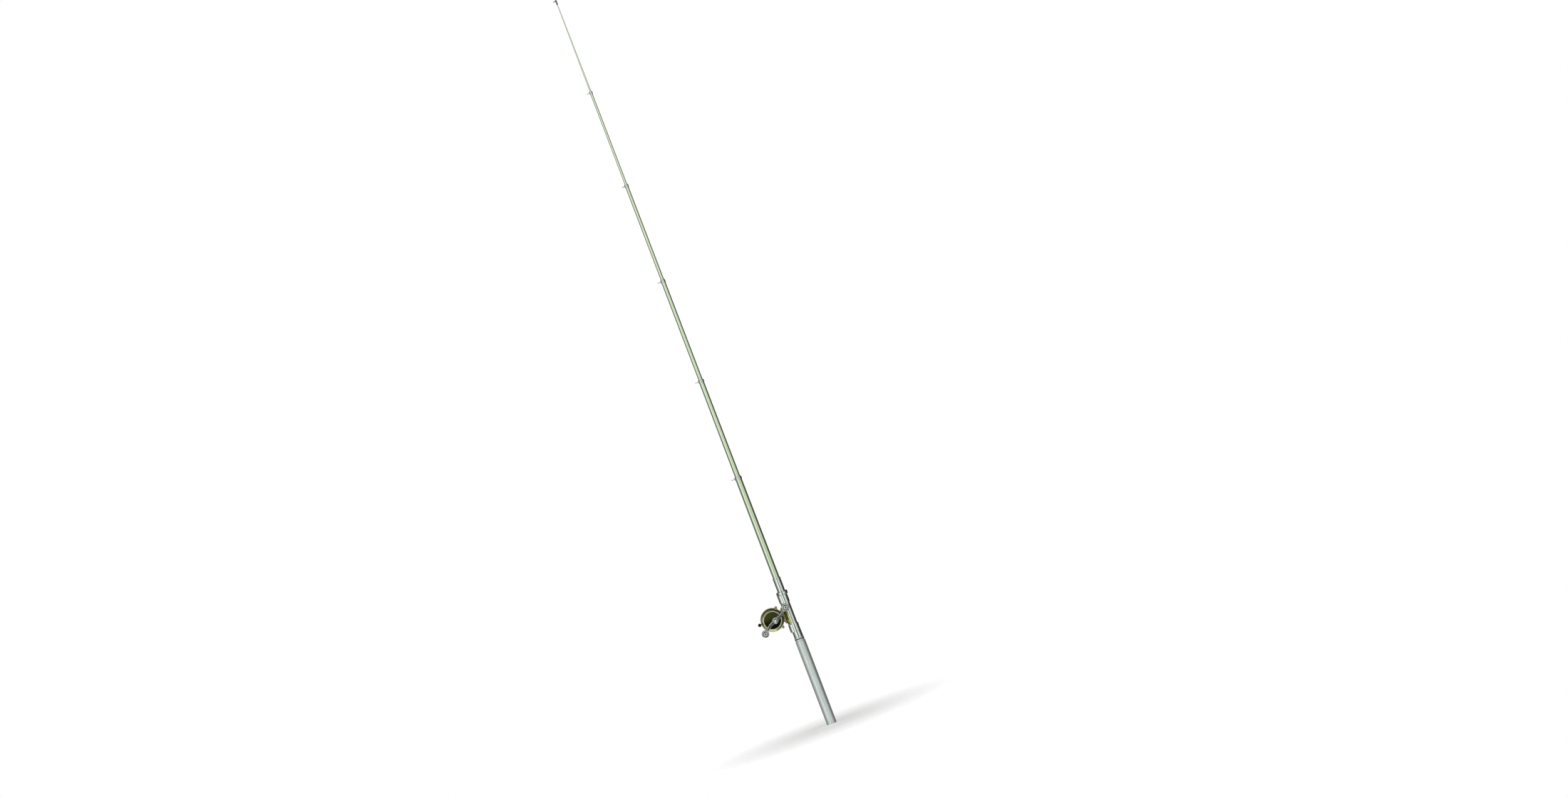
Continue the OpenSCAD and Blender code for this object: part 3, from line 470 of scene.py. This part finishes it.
class WorldNodes(Nodes):
    """The world's node tree, with brightness read by direction."""

    def split(self, vector):
        node = self.add("ShaderNodeSeparateXYZ")
        self.put(node.inputs[0], vector)
        return node.outputs

    def by_degrees(self, degrees, stops):
        """A brightness read from (degrees, grey) stops between -180 and 180."""
        node = self.add("ShaderNodeValToRGB")
        node.color_ramp.interpolation = "EASE"
        self.put(node.inputs[0], self.math("ADD", self.math("DIVIDE", degrees, 360.0), 0.5))
        elements = node.color_ramp.elements
        while len(elements) < len(stops):
            elements.new(0.5)
        for element, (place, grey) in zip(elements, stops):
            element.position = place / 360 + 0.5
            element.color = (grey, grey, grey, 1.0)
        return node.outputs[0]


def looking(w):
    """Degrees to the right of the camera and degrees above eye height of the ray that is shaded."""
    right = w.add("ShaderNodeVectorTransform",
                  vector_type="VECTOR", convert_from="CAMERA", convert_to="WORLD")
    right.inputs[0].default_value = (1.0, 0.0, 0.0)
    right_x, right_y, _ = w.split(right.outputs[0])
    look_x, look_y, look_z = w.split(w.add("ShaderNodeTexCoord").outputs["Generated"])
    across = w.math("ADD", w.math("MULTIPLY", look_x, right_x), w.math("MULTIPLY", look_y, right_y))
    toward = w.math(
        "SUBTRACT", w.math("MULTIPLY", look_x, right_y), w.math("MULTIPLY", look_y, right_x))
    heading = w.math("DEGREES", w.math("ARCTAN2", across, toward))
    return heading, w.math("DEGREES", w.math("ARCSINE", look_z))


def studio():
    """Pale surroundings for everything but the camera, which sees plain white."""
    scene.world = bpy.data.worlds.new("studio")
    w = WorldNodes(scene.world)
    heading, height = looking(w)
    walls = w.math("MULTIPLY", w.by_degrees(heading, ROUND), w.by_degrees(height, SHARE))
    added = w.math("MULTIPLY", w.by_degrees(height, ADDED), w.by_degrees(heading, ADDED_ROUND))

    # The dark shape has rounded corners, and fades at its edge.
    power = 4.0
    middle_x, middle_y, half_x, half_y = DARK_SHAPE
    off_x = w.math("DIVIDE", w.math("SUBTRACT", heading, middle_x), half_x)
    off_y = w.math("DIVIDE", w.math("SUBTRACT", height, middle_y), half_y)
    off = w.math("ADD", w.math("POWER", off_x, power), w.math("POWER", off_y, power))
    share = w.math("POWER", off, 1 / power)
    outside = w.remap(share, *DARK_EDGE, DARK_LEVEL, 1.0, interpolation_type="SMOOTHSTEP")
    lit = w.math("MULTIPLY", w.math("ADD", walls, added), outside)

    tint = w.add("ShaderNodeMix", data_type="RGBA", blend_type="MULTIPLY")
    tint.inputs[0].default_value = 1.0
    tint.inputs[6].default_value = STUDIO_TINT
    w.put(tint.inputs[7], lit)
    surroundings = w.add("ShaderNodeBackground")
    w.put(surroundings.inputs["Color"], tint.outputs[2])
    backdrop = w.add("ShaderNodeBackground")
    backdrop.inputs["Color"].default_value = (1.0, 1.0, 1.0, 1.0)
    chooser = w.add("ShaderNodeMixShader")
    w.put(chooser.inputs[0], w.add("ShaderNodeLightPath").outputs["Is Camera Ray"])
    w.put(chooser.inputs[1], surroundings.outputs[0])
    w.put(chooser.inputs[2], backdrop.outputs[0])
    w.put(w.add("ShaderNodeOutputWorld").inputs["Surface"], chooser.outputs[0])


studio()


# ---- Camera ----

def camera():
    data = bpy.data.cameras.new("camera")
    data.lens = 85
    data.sensor_width = 36
    data.clip_start, data.clip_end = 0.1, 50
    obj = bpy.data.objects.new("camera", data)
    collection.objects.link(obj)
    heading, lean, distance = math.radians(-1.5), math.radians(20.9), 4.675
    aim_across, aim_height = 0.0897, 0.4047
    level = Vector((math.cos(heading), math.sin(heading), 0))
    up = Vector((0, 0, 1))
    back = level.cross(up)
    right_dir = level * math.cos(lean) - up * math.sin(lean)
    up_dir = level * math.sin(lean) + up * math.cos(lean)
    aim = level * aim_across + up * aim_height
    place = aim + back * distance
    obj.matrix_world = Matrix((
        (right_dir.x, up_dir.x, back.x, place.x),
        (right_dir.y, up_dir.y, back.y, place.y),
        (right_dir.z, up_dir.z, back.z, place.z),
        (0, 0, 0, 1)))
    scene.camera = obj


camera()
scene.view_settings.view_transform = "Standard"
scene.view_settings.look = "None"
